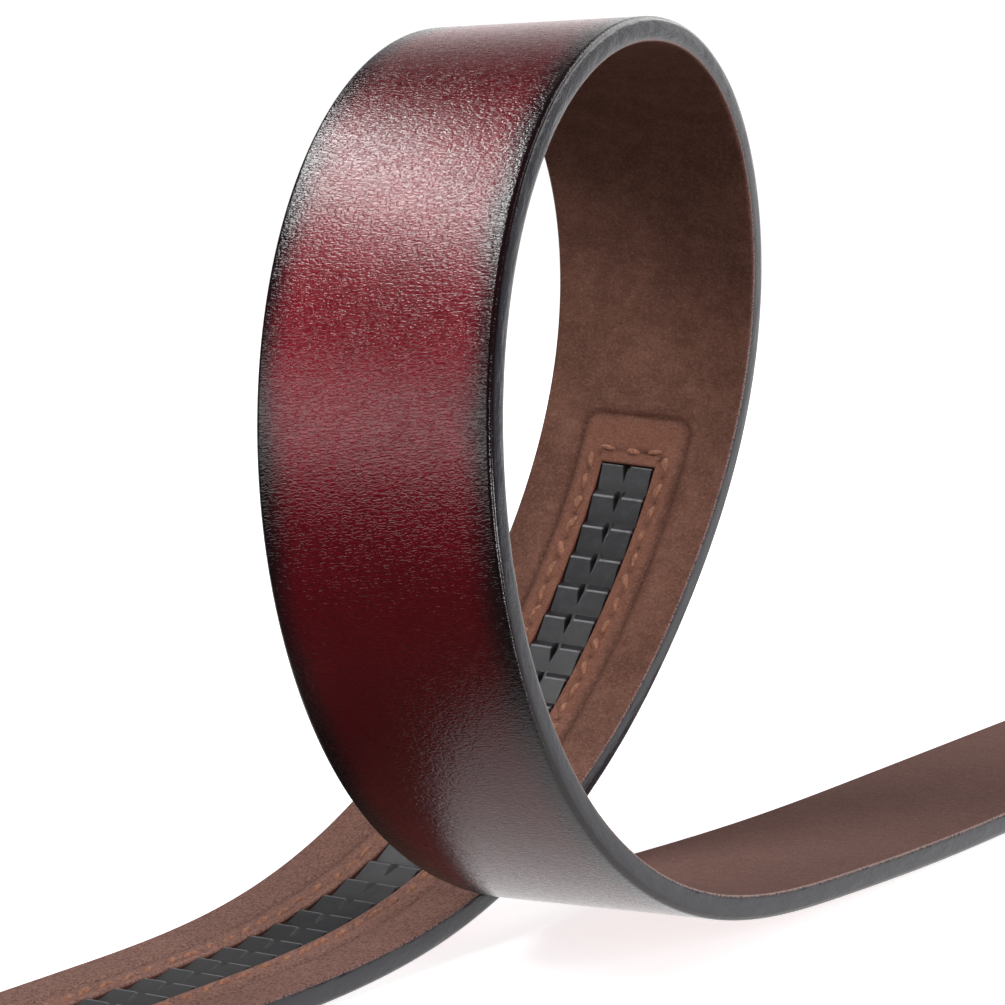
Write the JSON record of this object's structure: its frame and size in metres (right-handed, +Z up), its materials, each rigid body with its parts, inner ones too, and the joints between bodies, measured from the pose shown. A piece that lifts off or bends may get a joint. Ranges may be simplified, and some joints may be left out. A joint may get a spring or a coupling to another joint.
{
  "type": "ratchet belt",
  "caption": "Leather belt with a toothed plastic track in its suede lining and a plain slide buckle, standing in one loop with both tails flat on the ground.",
  "frame": {"origin": "middle of the ground plan, on the ground", "axes": "+Y along both flat tails from the tip towards the buckle, +X towards the buckle tail's side, +Z up"},
  "size_m": [0.0738, 0.5656, 0.1311],
  "materials": {
    "grain_leather": "burnished burgundy grain leather, darker towards both edges, with dark painted edges",
    "suede": "brown suede with a short nap",
    "track_plastic": "moulded satin black",
    "buckle_metal": "brushed dark gunmetal"
  },
  "bodies": {
    "root": {"outer_leather": "grain_leather", "suede_lining": "suede", "ratchet_track": "track_plastic", "buckle": "buckle_metal"}
  },
  "joints": []
}
